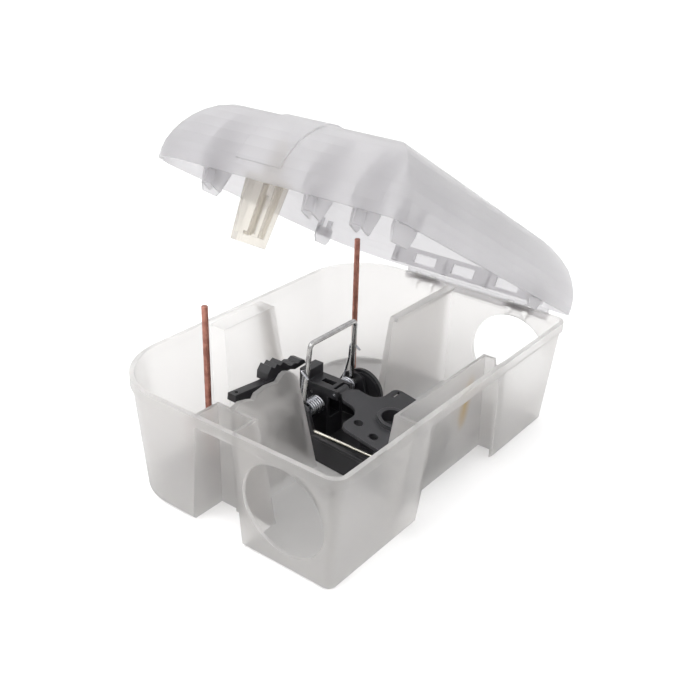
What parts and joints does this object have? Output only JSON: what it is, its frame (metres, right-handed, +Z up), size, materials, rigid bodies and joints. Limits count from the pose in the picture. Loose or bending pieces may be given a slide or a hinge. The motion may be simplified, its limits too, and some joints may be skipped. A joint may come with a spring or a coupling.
{
  "type": "tamper resistant rodent trap station",
  "caption": "Translucent rodent station, dome lid propped open: tray with round entries, bait bays and upright rods, holding a black snap trap with a sprung wire striker.",
  "frame": {"origin": "middle of the underside of the tray's floor, on the surface it stands on", "axes": "+Z up; +X towards the hinge end, -X the latch end; -Y the straight side that stands against a wall, +Y the room side with the large corners"},
  "size_m": [0.2619, 0.1856, 0.2291],
  "materials": {
    "frosted_clear": "frosted translucent moulding",
    "black_moulding": "satin black moulding",
    "plated_wire": "bright zinc plate",
    "bright_steel": "plain steel",
    "dark_spring": "drawn spring wire",
    "coppered_rod": "copper-washed steel"
  },
  "bodies": {
    "tray": {"base_tray": "frosted_clear", "hinge_pins": "bright_steel"},
    "lid": {"lid_shell": "frosted_clear", "latch_leg": "frosted_clear"},
    "rod_left": {"bait_rod_left": "coppered_rod"},
    "rod_right": {"bait_rod_right": "coppered_rod"},
    "trap": {"trap_tray": "black_moulding", "jaw_wire": "plated_wire", "catch_housing": "black_moulding", "housing_screws": "bright_steel", "pivot_axle": "bright_steel", "spring_disc": "black_moulding", "pedal_pin": "bright_steel", "catch_pin": "bright_steel", "arm_pin": "bright_steel"},
    "striker": {"striker_bar": "plated_wire", "spring_left": "dark_spring", "spring_right": "dark_spring"},
    "pedal": {"trip_pedal": "black_moulding", "bait_cup": "black_moulding"},
    "catch": {"trip_catch": "bright_steel"},
    "arm": {"setting_arm": "black_moulding", "toothed_grip": "black_moulding"}
  },
  "joints": [
    {"name": "lid_hinge", "type": "hinge", "parent": "tray", "child": "lid", "pos_m": [0.1294, 0, 0.0731], "axis": [0, 1, 0], "range_deg": [-30.2, 75]},
    {"name": "rod_left_lift", "type": "slide", "parent": "tray", "child": "rod_left", "axis": [0, 0, 1], "range_m": [0, 0.035]},
    {"name": "rod_right_lift", "type": "slide", "parent": "tray", "child": "rod_right", "axis": [0, 0, 1], "range_m": [0, 0.035]},
    {"name": "trap_lift", "type": "slide", "parent": "tray", "child": "trap", "axis": [0, 0, 1], "range_m": [0, 0.075]},
    {"name": "striker_swing", "type": "hinge", "parent": "trap", "child": "striker", "pos_m": [0.0022, 0.0165, 0.031], "axis": [1, 0, 0], "range_deg": [0, 70]},
    {"name": "pedal_tip", "type": "hinge", "parent": "trap", "child": "pedal", "pos_m": [0.0022, 0.005, 0.04], "axis": [1, 0, 0], "range_deg": [0, 4]},
    {"name": "catch_tip", "type": "hinge", "parent": "trap", "child": "catch", "pos_m": [0.0022, 0.024, 0.036], "axis": [1, 0, 0], "range_deg": [-4, 0]},
    {"name": "arm_rock", "type": "hinge", "parent": "trap", "child": "arm", "pos_m": [-0.0188, 0.041, 0.047], "axis": [0, 1, 0], "range_deg": [-8, 8]}
  ],
  "couplings": [
    {"joint": "catch_tip", "follows": "pedal_tip", "ratio": -1}
  ]
}
